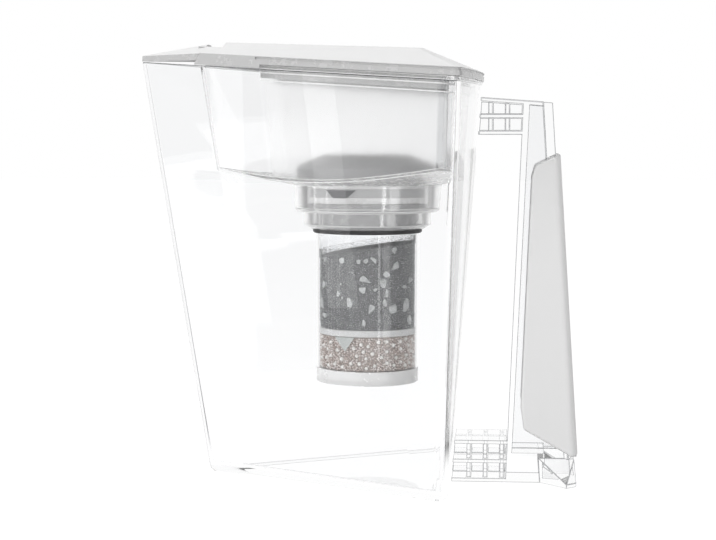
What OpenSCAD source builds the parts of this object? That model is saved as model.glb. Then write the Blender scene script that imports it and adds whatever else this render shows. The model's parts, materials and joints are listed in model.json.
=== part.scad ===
/* [Jug] */
// Height of the rim at the spout, above the table
jug_height = 254; // [220:1:280]
// Length of the base, from the front corner to the back wall
base_length = 150.5; // [135:0.5:165]
// Width of the base along the back wall
base_width = 180; // [160:1:190]
// How far the spout leans out past the base
spout_lean = 41; // [34:0.5:48]
// How far the back wall's corners lean out at the top
back_lean = 7.5; // [4:0.5:12]
// How far the back wall bows out in its middle at the top; its foot is straight
back_bow = 11; // [6:0.5:13]
// Width of the rim along the back wall
rim_width = 212; // [200:1:225]
// Slope of the rim, down from the spout to the handle, in degrees
rim_tilt = 4.1; // [3:0.1:4.8]
// Thickness of the jug's walls
jug_wall = 2.5; // [2:0.1:3]
// Thickness of the jug's floor
jug_floor = 3; // [2:0.1:4]
// Radius of the jug's upright corners at the rim
rim_corner_r = 3.5; // [3.2:0.1:5]
// Radius of the jug's upright corners at the base
base_corner_r = 6; // [5.5:0.5:9]
// Radius of the rounding under the base
base_edge_r = 5; // [3:0.5:5]
// Width of the foot ring under the base
foot_ring_w = 8.7; // [8:0.1:12]
// Depth of the hollow inside the foot ring
foot_hollow = 2.5; // [1:0.5:4]

/* [Handle] */
// Reach from the foot of the back wall to the outermost point of the grip
handle_reach = 76; // [72:0.1:84]
// Clear space for the fingers behind the foot of the back wall
finger_gap = 32.5; // [29:0.5:35]
// Lean of the upright's inner edge, in millimetres out per millimetre up
inner_lean = 0.04; // [0.03:0.005:0.05]
// Width of the clear handle frame
handle_w = 42; // [36:1:48]
// Thickness of the plates that the frame is made of
plate = 2.4; // [2:0.1:3]
// Lean of the handle's outer edge, in millimetres out per millimetre down
handle_lean = 0.065; // [0.04:0.005:0.07]
// Height of the top of the upper bracket
bracket_top_z = 232; // [226:0.5:234]
// Height of each bracket
bracket_h = 22.5; // [18:0.5:25]
// Height of the lower bracket
low_bracket_h = 25.5; // [20:0.5:28]
// Distance between the stiffening ribs
rib_pitch = 10; // [8:0.1:14]
// Distance from the jug's wall to the upper bracket's first rib
rib_lead_top = 6.5; // [4:0.5:10]
// Distance from the jug's wall to the lower bracket's first rib
rib_lead_low = 9.5; // [6:0.5:12]
// Thickness of the upright's wall towards the jug
upright_wall = 3.6; // [2.4:0.1:4]
// How far the upright's middle fin stands out past its side walls
fin_depth = 5.8; // [4:0.1:8]
// Width of the flared foot at its outer end
foot_flare_w = 76; // [60:1:84]
// Length of the flared foot
foot_flare_l = 21.5; // [16:0.5:24]
// Size of the flared foot's cut corners
foot_corner = 6; // [3:0.5:8]
// Height over which the foot flares out
foot_flare_h = 15; // [10:1:15]
// Thickness of the grip's shell
grip_wall = 2.2; // [1.8:0.1:2.6]
// Height of the grip's upper outer corner
grip_top_z = 198.5; // [180:0.5:204]
// Height of the grip's lower outer corner
grip_low_z = 16.5; // [16.5:0.5:24]
// Depth of the grip's side at the top
grip_side_top = 15; // [13:0.5:17]
// Depth of the grip's side at the bottom
grip_side_low = 32.5; // [26:0.5:33]
// Fall of the grip's upper edge, from its outer corner to its side
grip_top_fall = 7; // [4:0.5:12]
// Rise of the grip's lower edge, from its heel to its side
grip_low_rise = 16; // [12:0.5:22]
// Length of the level heel under the grip
grip_heel_l = 4; // [2:0.5:6]
// Radius of the grip's rounded outer edges
grip_edge_r = 5; // [3:0.5:7]

/* [Hopper] */
// Distance from the spout tip to the hopper's front edge at the rim
pour_gap = 36; // [33:0.5:40]
// Distance from the spout tip to the hopper's front corners
shoulder_u = 80; // [74:0.5:86]
// Gap between the hopper's sides and the jug's sides
hopper_gap = 1.6; // [1.4:0.1:2.5]
// Gap between the hopper's back wall and the jug's back wall
hopper_back_gap = 2.5; // [1.5:0.5:5]
// Thickness of the hopper's walls
hopper_wall = 2; // [1.6:0.1:2.4]
// Radius of the hopper's upright corners
hopper_corner_r = 5.5; // [5.5:0.5:8]
// Height of the seat under the hopper's floor
socket_top_z = 179.5; // [170:0.5:186]
// Rise of the hopper's floor per millimetre away from the seat
floor_slope = 0.17; // [0.1:0.01:0.22]
// Thickness of the hopper's flange on the jug's rim
flange_t = 2.2; // [1.8:0.1:2.6]
// How far the flange and the band run on in front of the shoulders
flange_lead = 1; // [0.5:0.5:4]
// Height of the thick band at the top of the hopper's walls
hopper_band_h = 4.6; // [3:0.1:7]
// Depth of the thick band's top below the rim
hopper_band_drop = 2; // [1:0.1:3]
// How far the thick band stands out
hopper_band_t = 0.8; // [0.4:0.1:1]

/* [Filter socket] */
// Outer diameter of the socket's upper ring
socket_d = 91; // [90:1:100]
// Height of the socket's upper ring
socket_h = 16.5; // [14:0.5:20]
// How much narrower the upper ring's radius is at its bottom
socket_draft = 1.2; // [0:0.1:2]
// Outer diameter of the socket's lower ring
socket_low_d = 78; // [76:1:84]
// Height of the socket's lower ring
socket_low_h = 10.3; // [8:0.1:13]
// Height of the long chamfer under the lower ring
socket_chamfer_h = 2.4; // [1:0.1:3]
// Depth of the step that the cartridge hangs on, below the socket's top
socket_step = 14; // [12:0.5:16]

/* [Cartridge] */
// Distance from the base's front corner to the cartridge's axis
cartridge_u = 98.5; // [94:0.5:102]
// Outer diameter of the cartridge's tube
tube_d = 63; // [58:0.5:64]
// Thickness of the cartridge's tube
tube_wall = 1.6; // [1.2:0.1:2]
// Height of the cartridge's bottom above the table
cartridge_low_z = 59; // [50:1:64]
// Diameter of the flange that hangs on the socket's step
hang_d = 73; // [71:0.5:74]
// Thickness of that flange
hang_t = 3; // [2:0.5:4]
// Diameter of the inlet head
head_d = 86; // [80:1:90]
// Gap between the hopper's floor and the inlet head
head_gap = 2; // [1:0.5:4]
// Height of the inlet head's rim
head_h = 8; // [6:0.5:10]
// Height of the inlet head's dome above its rim
head_dome_h = 6; // [4:0.5:8]
// Number of slots in the inlet head
head_slots = 12; // [8:1:16]
// Width of each slot
slot_w = 2.4; // [1.5:0.1:3]
// Height of the end cap
cap_h = 8.6; // [8:0.1:11]
// Height of the resin bed
resin_h = 20.6; // [16:0.1:26]
// Thickness of the separating felt
felt_t = 4; // [2:0.5:6]
// Height of the carbon bed at its low side
carbon_low_h = 44; // [36:1:50]
// Height of the carbon bed at its high side
carbon_high_h = 53; // [44:1:58]
// Size of a middling mineral chip
chip_size = 5; // [3:0.5:5.5]
// Number of mineral chips on the cartridge's far side
far_chips = 18; // [10:1:22]
// Height of the sealing ring
seal_h = 5.2; // [4:0.1:7]

/* [Lid] */
// How far the lid stands out past the jug's rim
lid_overhang = 0.5; // [0.3:0.1:1.5]
// Thickness of the lid's shell
lid_wall = 2; // [1.6:0.1:2.4]
// Radius of the lid's upright corners
lid_corner_r = 3.5; // [3:0.5:4.5]
// Height of the lid's upright edge above the jug's rim
lid_edge_h = 7.3; // [6.5:0.1:8.5]
// Width of the bevel along the lid's back
bevel_back = 23.5; // [18:0.5:28]
// Width of the bevel along the lid's sides
bevel_side = 19; // [16:0.5:22]
// Height of the lid's top above the jug's rim at the hinge
lid_top_front = 15; // [14:0.1:16]
// Height of the lid's top above the jug's rim at the handle
lid_top_back = 17.5; // [15:0.1:19]
// Thickness of the top plate's edge over the groove around the lid
groove_lip = 0.5; // [0.3:0.1:1]
// Height of the groove around the lid, behind the shoulders
groove_h = 1.5; // [1:0.1:2.2]
// Depth of that groove
groove_t = 1; // [0.5:0.1:1.2]
// Depth of the lid's skirt inside the hopper
skirt_depth = 5; // [3:0.5:8]
// Thickness of the lid's skirt
skirt_t = 1.6; // [1.2:0.1:2]
// Gap between the lid's skirt and the hopper's wall
skirt_gap = 1.4; // [1.1:0.1:2]

/* [Spout flap] */
// Distance from the spout tip to the flap's lower back edge
flap_u = 35; // [33:0.5:37]
// How far the flap's upper back edge lies behind its lower one
flap_rake = 6; // [5:0.5:7]
// How far the flap's lower edge stands above the rim at its back
flap_lift = 2.6; // [1.5:0.1:3.5]
// Height of the flap's tip above the rim
flap_tip_h = 3.7; // [3:0.1:5]
// Height of the flap's crown above the rim
flap_crown_h = 13.2; // [12.6:0.1:14]
// Half width of the flap's flat crown
crown_half = 7; // [5:0.5:9]
// Distance from the spout tip to the hinge's axis
hinge_u = 48; // [47.5:0.1:49]
// Height of the hinge's axis above the rim
hinge_w = 8.6; // [8.2:0.1:9]
// Radius of the hinge's knuckle
knuckle_r = 3.2; // [2.8:0.1:3.4]
// Width of the hinge's tongue
tongue_w = 21.4; // [16:0.1:23]
// Radius of the hinge's pin
pin_r = 1.5; // [1.2:0.1:1.8]
// Length of each end of the pin inside its boss
pin_seat = 4; // [3:0.5:5]

/* [Clearances] */
// Gap between pieces that lie on each other and lift off
seat_gap = 0.3; // [0.2:0.05:0.5]
// Gap around pieces that turn or slide past each other
run_gap = 0.4; // [0.3:0.05:0.6]
// Radial gap between the hinge's pin and its tongue
pin_gap = 0.05; // [0.03:0.01:0.1]
// Gap between the layers inside the cartridge
layer_gap = 0.1; // [0.05:0.05:0.2]

/* [Hidden] */

// Facets of small corners inside hulls, and of true round parts
hull_fn = 32;
round_fn = 96;
// A thickness that counts as nothing, and a length past every piece
thin = 0.01;
far = 400;

// Places along the length: the spout's tip, the base and the back wall
overall_l = spout_lean + base_length + handle_reach;
spout_x = -overall_l / 2;
base_front_x = spout_x + spout_lean;
base_back_x = base_front_x + base_length;
axis_x = base_front_x + cartridge_u;

// Places of the jug's walls at a height z; the back wall bows out between its corners
function front_x(z) = base_front_x - spout_lean * z / jug_height;
function back_x(z) = base_back_x + back_lean * z / jug_height;
function bow(z) = back_bow * z / jug_height;
function wall_x(z) = back_x(z) + bow(z);
function half_w(z) = base_width / 2 + (rim_width - base_width) / 2 * z / jug_height;
// The rim's length, half its width at the back corners, and the bow between them
rim_back_z = jug_height - (base_back_x + back_lean - spout_x) * tan(rim_tilt);
rim_l = (back_x(rim_back_z) - spout_x) / cos(rim_tilt);
rim_half = half_w(rim_back_z);
rim_bow = bow(rim_back_z);
// Half the rim's width at a distance u behind the spout
function rim_side(u) = rim_half * u / rim_l;
// Points of a bowed edge between two corners that lie at x and +-half
arc_steps = 10;
function bowed_edge(x, half, depth) = [for (i = [0:arc_steps])
    [x + depth * (1 - pow(2 * i / arc_steps - 1, 2)), half * (2 * i / arc_steps - 1)]];
// The same bow, kept to its curve on a shorter edge
function short_bow(depth, part, whole) = depth * pow(part / whole, 2);

// Things on the rim are drawn level, from the spout's tip back, and tilted with it
module on_rim() {
    translate([spout_x, 0, jug_height]) rotate([0, rim_tilt, 0]) children();
}

module above_rim(w) {
    on_rim() translate([-far / 2, -far / 2, w]) cube([far * 2, far, far]);
}

module bowed_plate(x, half, depth, low, high) {
    translate([0, 0, low]) linear_extrude(height = high - low) polygon(bowed_edge(x, half, depth));
}

// A flat outline in x and z, drawn out along y
module side_plate(points, width) {
    rotate([90, 0, 0]) linear_extrude(height = width, center = true) polygon(points);
}

// ---- Jug ----

// One corner of the base, rounded under its edge
module base_corner(x, y, r, edge_r, low_z) {
    for (a = [0:30:90])
        translate([x, y, low_z + edge_r * (1 - cos(a))])
            cylinder(r = r - edge_r + edge_r * sin(a), h = thin, $fn = hull_fn);
}

// The jug's form, drawn in by a wall and cut off at a low height
module jug_form(inset, low_z) {
    base_r = base_corner_r - inset;
    edge_r = min(base_edge_r, base_r - 0.5);
    top_r = rim_corner_r - inset;
    z = low_z + edge_r;
    hull() {
        base_corner(front_x(z) + base_corner_r, 0, base_r, edge_r, low_z);
        for (s = [-1, 1])
            base_corner(back_x(z) - base_corner_r, s * (half_w(z) - base_corner_r), base_r, edge_r, low_z);
        translate([front_x(jug_height) + rim_corner_r, 0, jug_height - thin])
            cylinder(r = top_r, h = thin, $fn = hull_fn);
        for (s = [-1, 1])
            translate([back_x(jug_height) - rim_corner_r, s * (half_w(jug_height) - rim_corner_r),
                jug_height - thin])
                cylinder(r = top_r, h = thin, $fn = hull_fn);
        bowed_plate(back_x(jug_height) - inset, half_w(jug_height) - rim_corner_r, bow(jug_height),
            jug_height - thin, jug_height);
    }
}

// Outline of the hollow under the base, with a shallow bay towards the handle
module foot_outline() {
    side = foot_ring_w / cos(atan(base_width / 2 / base_length));
    bay = foot_ring_w / 3;
    bay_half = base_width / 5;
    back = base_back_x - foot_ring_w;
    front = base_front_x + 2 * side;
    half = (back - front) * base_width / 2 / base_length;
    polygon([[front, 0], [back, -half], [back, -bay_half], [back + bay, -bay_half],
        [back + bay, bay_half], [back, bay_half], [back, half]]);
}

module jug_body() {
    color("lightcyan", 0.35)
        difference() {
            jug_form(0, 0);
            jug_form(jug_wall, foot_hollow + jug_floor);
            above_rim(0);
            translate([0, 0, -1]) linear_extrude(height = foot_hollow + 1) foot_outline();
        }
}

// ---- Handle ----

// The grip's outer edge and the frame's outer and inner edges at a height z
grip_outer_x = base_back_x + handle_reach + handle_lean * grip_low_z;
function grip_x(z) = grip_outer_x - handle_lean * z;
function frame_x(z) = grip_x(z) - grip_wall;
function inner_x(z) = base_back_x + finger_gap + inner_lean * z;

bracket_low_z = bracket_top_z - bracket_h;

// Height of the upper bracket's top, which falls with the jug's rim
function top_z(x) = bracket_top_z - (x - wall_x(bracket_top_z)) * tan(rim_tilt);

// A bracket of three flanges, a middle web and cross ribs, from inside the back wall outwards
module bracket(low_z, high_z, slope, rib_lead) {
    root_x = base_back_x;
    end_x = inner_x(high_z) + plate;
    top_root_z = high_z + (wall_x(high_z) - root_x) * slope;
    top_end_z = high_z - (end_x - wall_x(high_z)) * slope;
    mid_z = (low_z + high_z - plate) / 2;
    side_plate([[root_x, low_z], [inner_x(low_z) + plate, low_z],
        [inner_x(low_z) + plate, low_z + plate], [root_x, low_z + plate]], handle_w);
    side_plate([[root_x, mid_z], [inner_x(mid_z) + plate, mid_z], [inner_x(mid_z) + plate, mid_z + plate],
        [root_x, mid_z + plate]], handle_w);
    side_plate([[root_x, top_root_z - plate], [end_x, top_end_z - plate], [end_x, top_end_z],
        [root_x, top_root_z]], handle_w);
    intersection() {
        side_plate([[root_x, low_z], [inner_x(low_z) + plate, low_z], [end_x, top_end_z],
            [root_x, top_root_z]], handle_w);
        union() {
            translate([root_x, -plate / 2, low_z]) cube([far, plate, far]);
            for (x = [wall_x(mid_z) + rib_lead : rib_pitch : inner_x(low_z) - plate / 2])
                translate([x - plate / 2, -handle_w / 2 + plate, low_z])
                    cube([plate, handle_w - 2 * plate, far]);
        }
    }
}

// The upright from the side, from its inner edge to a depth short of its outer edge
module upright_side(short, width) {
    side_plate([[inner_x(0), 0], [frame_x(0) - short, 0],
        [frame_x(bracket_top_z) - short, top_z(frame_x(bracket_top_z) - short)],
        [inner_x(bracket_top_z), top_z(inner_x(bracket_top_z))]], width);
}

// The upright: a channel that is open towards the grip, with a fin in its middle
module upright() {
    outer_x = frame_x(bracket_top_z);
    difference() {
        upright_side(fin_depth, handle_w);
        side_plate([[inner_x(0) + upright_wall, foot_flare_h + plate], [frame_x(0), foot_flare_h + plate],
            [outer_x, top_z(outer_x) - plate],
            [inner_x(bracket_top_z) + upright_wall, top_z(inner_x(bracket_top_z)) - plate]],
            handle_w - 2 * plate);
    }
    upright_side(0, plate);
}

// Outline of the foot under the upright, flared towards its outer end
module foot_plan(x_end) {
    c = foot_corner;
    half = foot_flare_w / 2;
    polygon([[x_end - foot_flare_l, -handle_w / 2], [x_end - c, -half], [x_end, c - half],
        [x_end, half - c], [x_end - c, half], [x_end - foot_flare_l, handle_w / 2]]);
}

module flared_foot() {
    x_low = frame_x(0);
    x_high = frame_x(foot_flare_h);
    difference() {
        hull() {
            linear_extrude(height = plate) foot_plan(x_low);
            translate([x_high - foot_flare_l, -handle_w / 2, foot_flare_h - thin])
                cube([foot_flare_l, handle_w, thin]);
        }
        translate([x_high - foot_flare_l + plate, -handle_w / 2 + plate, plate])
            cube([foot_flare_l - 2 * plate, handle_w - 2 * plate, foot_flare_h]);
    }
}

module handle_frame() {
    color("lightcyan", 0.5) {
        difference() {
            union() {
                bracket(bracket_low_z, bracket_top_z, tan(rim_tilt), rib_lead_top);
                bracket(0, low_bracket_h, 0, rib_lead_low);
            }
            jug_form(0, 0);
        }
        difference() {
            upright();
            translate([frame_x(0) - foot_flare_l + plate, -handle_w / 2 + plate, plate])
                cube([foot_flare_l - 3 * plate, handle_w - 2 * plate, foot_flare_h]);
        }
        flared_foot();
    }
}

// The grip's outline from the side, with a blend at both of its inner corners
grip_blend_h = 14;
grip_blend_w = 2;
grip_top_x = grip_x(grip_top_z);
grip_low_x = grip_x(grip_low_z);
grip_points = [
    [grip_top_x, grip_top_z],
    [grip_low_x, grip_low_z],
    [grip_low_x - grip_heel_l, grip_low_z],
    [grip_low_x - grip_side_low, grip_low_z + grip_low_rise],
    [grip_low_x - grip_side_low - grip_blend_w, grip_low_z + grip_low_rise + grip_blend_h],
    [grip_top_x - grip_side_top - grip_blend_w, grip_top_z - grip_top_fall - grip_blend_h / 2],
    [grip_top_x - grip_side_top, grip_top_z - grip_top_fall]
];

module handle_grip() {
    lean_angle = atan(handle_lean);
    grip_w = handle_w + 2 * grip_wall;
    color("gainsboro")
        difference() {
            side_plate(grip_points, grip_w);
            side_plate([[inner_x(0) - far, -far], [frame_x(-far), -far], [frame_x(far), far],
                [inner_x(0) - far, far]], handle_w);
            // The long outer edges are rounded
            for (s = [-1, 1])
                translate([grip_x(0), s * grip_w / 2, 0]) rotate([0, -lean_angle, 0])
                    edge_round(grip_edge_r, s);
        }
}

// What a rounded edge takes away, along z, in the corner towards +x
module edge_round(r, s) {
    difference() {
        translate([-r, s > 0 ? -r : -1, -far / 2]) cube([r + 1, r + 1, far * 2]);
        translate([-r, -s * r, -far / 2]) cylinder(r = r, h = far * 2, $fn = round_fn);
    }
}

// ---- Hopper ----

// The hopper's walls stand parallel to the jug's, so their places follow the height z
hopper_top_z = jug_height + lid_edge_h;
shoulder_share = shoulder_u / rim_l;
function side_half(x, z) = half_w(z) * (x - front_x(z)) / (back_x(z) - front_x(z));
function hopper_side(x, z) = side_half(x, z) - (jug_wall + hopper_gap) / cos(atan(rim_half / rim_l));
function hopper_back(z) = back_x(z) - jug_wall - hopper_back_gap;
function shoulder_x(z) = front_x(z) + shoulder_share * (back_x(z) - front_x(z));

// The posts of radius r at the corners of the hopper's plan
module hopper_corners(r, z) {
    c = hopper_corner_r;
    translate([front_x(z) + pour_gap + c, 0, z]) cylinder(r = r, h = thin, $fn = hull_fn);
    for (s = [-1, 1], x = [shoulder_x(z) + c / 2, hopper_back(z) - c])
        translate([x, s * (hopper_side(x, z) - c), z]) cylinder(r = r, h = thin, $fn = hull_fn);
    back_half = hopper_side(hopper_back(z) - c, z) - c;
    bowed_plate(hopper_back(z) - c + r, back_half, short_bow(bow(z), back_half, half_w(z)), z, z + thin);
}

// The hopper's walls as one solid, drawn in by inset
module hopper_form(inset) {
    hull() {
        hopper_corners(hopper_corner_r - inset, hopper_top_z);
        hopper_corners(hopper_corner_r - inset, socket_top_z - 1);
    }
}

// Everything above the hopper's sloping floor, raised by t
module above_floor(t) {
    rise = far / 4;
    translate([axis_x, 0, socket_top_z + t])
        cylinder(h = rise, r1 = socket_d / 2, r2 = socket_d / 2 + rise / floor_slope, $fn = round_fn);
}

// The flange that lies on the jug's rim, behind the pouring gap
module flange() {
    u0 = shoulder_u - flange_lead;
    edge = 0.6;
    cut = rim_corner_r;
    on_rim() linear_extrude(height = flange_t)
        polygon(concat([[u0, -rim_side(u0) + edge], [rim_l - edge - cut, -rim_half + edge + cut / 3]],
            bowed_edge(rim_l - edge, rim_half - edge - cut, rim_bow),
            [[rim_l - edge - cut, rim_half - edge - cut / 3], [u0, rim_side(u0) - edge]]));
}

module hopper() {
    color("white", 0.6)
        difference() {
            union() {
                difference() {
                    hopper_form(0);
                    above_rim(seat_gap);
                }
                intersection() {
                    hopper_form(-hopper_band_t);
                    on_rim()
                        translate([shoulder_u - flange_lead, -far / 2, -hopper_band_drop - hopper_band_h])
                            cube([far, far, hopper_band_h]);
                }
                flange();
            }
            difference() {
                translate([-far, -far / 2, 0]) cube([far * 2, far, jug_height - far / 20]);
                above_floor(0);
            }
            intersection() {
                hopper_form(hopper_wall);
                above_floor(hopper_wall);
            }
            translate([axis_x, 0, 0]) cylinder(r = neck_r + floor_lip, h = far, $fn = round_fn);
        }
}

// ---- Filter socket ----

neck_r = hang_d / 2 + run_gap;
floor_lip = 1;
socket_mid_z = socket_top_z - socket_h;
socket_low_z = socket_mid_z - socket_low_h;
step_z = socket_top_z - socket_step;
seal_d = tube_d + 4;

module filter_socket() {
    bore_r = seal_d / 2 + seat_gap;
    mid_r = socket_d / 2 - socket_draft;
    lip = 1;
    color("whitesmoke", 0.7)
        translate([axis_x, 0, 0]) rotate_extrude($fn = round_fn)
            polygon([[bore_r, socket_low_z], [bore_r + lip, socket_low_z],
                [socket_low_d / 2, socket_low_z + socket_chamfer_h], [socket_low_d / 2, socket_mid_z],
                [mid_r - lip, socket_mid_z], [mid_r, socket_mid_z + lip], [socket_d / 2, socket_top_z],
                [neck_r, socket_top_z], [neck_r, step_z], [bore_r, step_z]]);
}

// ---- Cartridge ----

// Levels inside the cartridge, from the bottom up
cap_top_z = cartridge_low_z + cap_h;
resin_z = cap_top_z + layer_gap;
felt_z = resin_z + resin_h + layer_gap;
carbon_z = felt_z + felt_t + layer_gap;
hang_z = step_z + seat_gap;
neck_z = hang_z + hang_t;
head_z = socket_top_z + hopper_wall + head_gap;
bed_r = tube_d / 2 - tube_wall - layer_gap;
screen_t = 0.8;
cap_floor_t = 2.5;
neck_wall = 2;
neck_outer_r = hang_d / 2 - 1;

module disc(r, z, h) {
    translate([axis_x, 0, z]) cylinder(r = r, h = h, $fn = round_fn);
}

module cartridge_shell() {
    color("white", 0.3)
        difference() {
            union() {
                disc(tube_d / 2, cap_top_z, neck_z - cap_top_z);
                disc(hang_d / 2, hang_z, hang_t);
            }
            disc(tube_d / 2 - tube_wall, cap_top_z - 1, neck_z - cap_top_z + 2);
        }
}

// The inlet head: a slotted dome on a neck that stands on the shell's flange
module cartridge_head() {
    rim_r = head_d / 2;
    top_z = head_z + head_h;
    crown_r = rim_r * 0.62;
    color("dimgray")
        difference() {
            translate([axis_x, 0, 0]) rotate_extrude($fn = round_fn)
                polygon([[neck_outer_r - neck_wall, neck_z], [neck_outer_r, neck_z], [neck_outer_r, head_z],
                    [rim_r, head_z], [rim_r, top_z - 2], [rim_r - 2, top_z], [crown_r, top_z + head_dome_h],
                    [0, top_z + head_dome_h], [0, top_z + head_dome_h - neck_wall],
                    [crown_r - 1, top_z + head_dome_h - neck_wall],
                    [neck_outer_r - neck_wall, top_z - neck_wall]]);
            for (i = [0 : head_slots - 1])
                translate([axis_x, 0, 0]) rotate([0, 0, i * 360 / head_slots])
                    translate([crown_r * 0.4, -slot_w / 2, top_z]) cube([crown_r * 0.5, slot_w, far]);
        }
}

module cartridge_seal() {
    color("black")
        difference() {
            disc(seal_d / 2, socket_low_z - seal_h / 2, seal_h);
            disc(tube_d / 2, socket_low_z - seal_h, 2 * seal_h);
        }
}

pad_r = neck_outer_r - neck_wall - layer_gap;
pad_z = neck_z + layer_gap;
pad_h = head_z + head_h - 3 - pad_z;

module foam_pad() {
    color("silver") disc(pad_r, pad_z, pad_h);
}

module inlet_screen() {
    color("gray") disc(pad_r, pad_z + pad_h + layer_gap, screen_t);
}

// The bed's top is a slope, as loose carbon settles
module carbon_block() {
    slope = atan((carbon_high_h - carbon_low_h) / (2 * bed_r));
    difference() {
        disc(bed_r, carbon_z, carbon_high_h + 1);
        translate([axis_x - bed_r, 0, carbon_z + carbon_low_h]) rotate([0, -slope, 0])
            translate([-far / 2, -far / 2, 0]) cube([far, far, far]);
    }
}

// Height of the bed at its outside, at an angle a around its axis
function bed_top(a) = carbon_low_h + (carbon_high_h - carbon_low_h) * (1 + cos(a)) / 2;

// Chips on the near side: angle, share of the bed's height, width and height in chip sizes
chip_spots = [
    [-144, 0.94, 0.42, 0.66], [-116, 0.90, 0.76, 0.80], [-96, 0.87, 0.50, 0.66],
    [-87, 0.86, 0.54, 0.68], [-79, 0.86, 0.86, 0.92], [-53, 0.94, 0.66, 0.76],
    [-51, 0.75, 1.14, 1.10], [-62, 0.66, 0.94, 0.88], [-67, 0.57, 0.98, 0.98],
    [-64, 0.45, 1.24, 0.98], [-64, 0.34, 0.60, 0.98], [-54, 0.27, 0.94, 1.64],
    [-24, 0.55, 1.14, 1.52], [-36, 0.49, 0.46, 0.56], [-33, 0.27, 1.04, 1.60],
    [-25, 0.10, 0.76, 1.14], [-89, 0.63, 1.24, 1.14], [-91, 0.52, 0.86, 0.94],
    [-76, 0.49, 0.50, 0.56], [-81, 0.26, 0.94, 1.14], [-107, 0.36, 0.86, 1.14],
    [-122, 0.48, 0.50, 0.76], [-148, 0.60, 0.90, 0.86], [-153, 0.34, 0.94, 1.32],
    [-145, 0.19, 0.86, 0.76], [-90, 0.09, 0.56, 0.80], [-116, 0.42, 0.30, 0.38],
    [-118, 0.60, 0.26, 0.42], [-104, 0.73, 0.26, 0.30]
];

// One block at the bed's outside
module chip(a, share, width, height) {
    depth = 0.7 * min(width, height);
    skin = 0.5;
    translate([axis_x, 0, carbon_z + share * bed_top(a)]) rotate([0, 0, a])
        translate([bed_r - skin - depth / 2, 0, 0]) cube([depth, width, height], center = true);
}

module chips() {
    for (spot = chip_spots)
        chip(spot[0], spot[1], spot[2] * chip_size, spot[3] * chip_size);
    // The far side's chips step around by the golden ratio, so that they never line up
    golden = 0.618;
    for (i = [0 : far_chips - 1]) {
        turn = i * golden - floor(i * golden);
        size = chip_size * (0.6 + 0.4 * abs(sin(i * 71)));
        chip(10 + 160 * turn, 0.1 + 0.8 * (i + 0.5) / far_chips, size, size * 0.8);
    }
}

module carbon_bed() {
    color("black")
        difference() {
            carbon_block();
            chips();
        }
}

module mineral_chips() {
    color("lightgray") chips();
}

module separator_felt() {
    color("white") disc(bed_r, felt_z, felt_t);
}

module resin_bed() {
    color("tan") disc(bed_r, resin_z, resin_h);
}

cap_inner_r = tube_d / 2 - tube_wall;

module outlet_felt() {
    color("white") disc(cap_inner_r - layer_gap, cartridge_low_z + cap_floor_t + screen_t + 2 * layer_gap,
        cap_h - cap_floor_t - screen_t - 3 * layer_gap);
}

module outlet_screen() {
    color("silver") disc(cap_inner_r - layer_gap, cartridge_low_z + cap_floor_t + layer_gap, screen_t);
}

module end_cap() {
    ring_r = tube_d / 2 * 0.6;
    holes = 10;
    hole_r = 2.6;
    color("white", 0.8)
        difference() {
            disc(tube_d / 2, cartridge_low_z, cap_h);
            disc(cap_inner_r, cartridge_low_z + cap_floor_t, cap_h);
            for (i = [0 : holes - 1])
                translate([axis_x, 0, cartridge_low_z - 1]) rotate([0, 0, i * 360 / holes])
                    translate([ring_r, 0, 0]) cylinder(r = hole_r, h = cap_floor_t + 2, $fn = hull_fn);
        }
}

// ---- Lid ----

lid_top_r = 2.5;
slot_half = tongue_w / 2 + run_gap;
boss_end = slot_half + pin_seat + 1;
slot_u = hinge_u + knuckle_r + 2 * run_gap;
back_u = rim_l - bevel_back;
plateau_inset = bevel_side / cos(atan(rim_half / rim_l));
lid_half = rim_half + lid_overhang - lid_corner_r;
top_half = rim_side(back_u) - plateau_inset - lid_top_r;

// One upright corner post or a flat spot on the lid, drawn in by t
module lid_spot(u, v, r, low_w, high_w) {
    translate([u, v, low_w]) cylinder(r = r, h = high_w - low_w, $fn = hull_fn);
}

// The lid's upright edge as a frame of posts, from low to high
module lid_edge(t, low, high) {
    r = lid_corner_r - t;
    lid_spot(lid_corner_r - lid_overhang / 2, 0, r, low, high);
    for (s = [-1, 1])
        lid_spot(rim_l + lid_overhang - lid_corner_r, s * lid_half, r, low, high);
    bowed_plate(rim_l + lid_overhang - t, lid_half, rim_bow, low, high);
}

// The lid's form; its front lies lower, level with the hinge's knuckle
module lid_form(t, low) {
    difference() {
        hull() {
            lid_edge(t, low, lid_edge_h - t);
            lid_spot(plateau_inset / (rim_half / rim_l) + lid_top_r, 0, lid_top_r - t,
                lid_top_front - t - thin, lid_top_front - t);
            for (s = [-1, 1])
                lid_spot(back_u - lid_top_r, s * top_half, lid_top_r - t, lid_top_back - t - thin,
                    lid_top_back - t);
        }
        translate([slot_u + t - far, -far / 2, hinge_w + knuckle_r - t]) cube(far);
    }
}

// The groove around the lid, behind the shoulders
module lid_groove() {
    low = lid_edge_h - groove_lip - groove_h;
    difference() {
        translate([shoulder_u - flange_lead - lid_corner_r, -far / 2, low]) cube([far, far, groove_h]);
        hull()
            lid_edge(groove_t, low - 1, lid_edge_h);
    }
}

// Everything in front of the flap's raked back edge, moved back by gap
module flap_zone(gap) {
    side_rake = [[-far, -far], [flap_u + gap - flap_rake * far / flap_crown_h, -far],
        [flap_u + gap + flap_rake * far / flap_crown_h, far], [-far, far]];
    side_plate(side_rake, far);
}

// The skirt that drops inside the hopper
module skirt() {
    inset = hopper_wall + skirt_gap;
    difference() {
        hopper_form(inset);
        hopper_form(inset + skirt_t);
        on_rim() translate([-far, -far / 2, -far / 2]) cube([far + shoulder_u - flange_lead, far, far]);
    }
}

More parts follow.
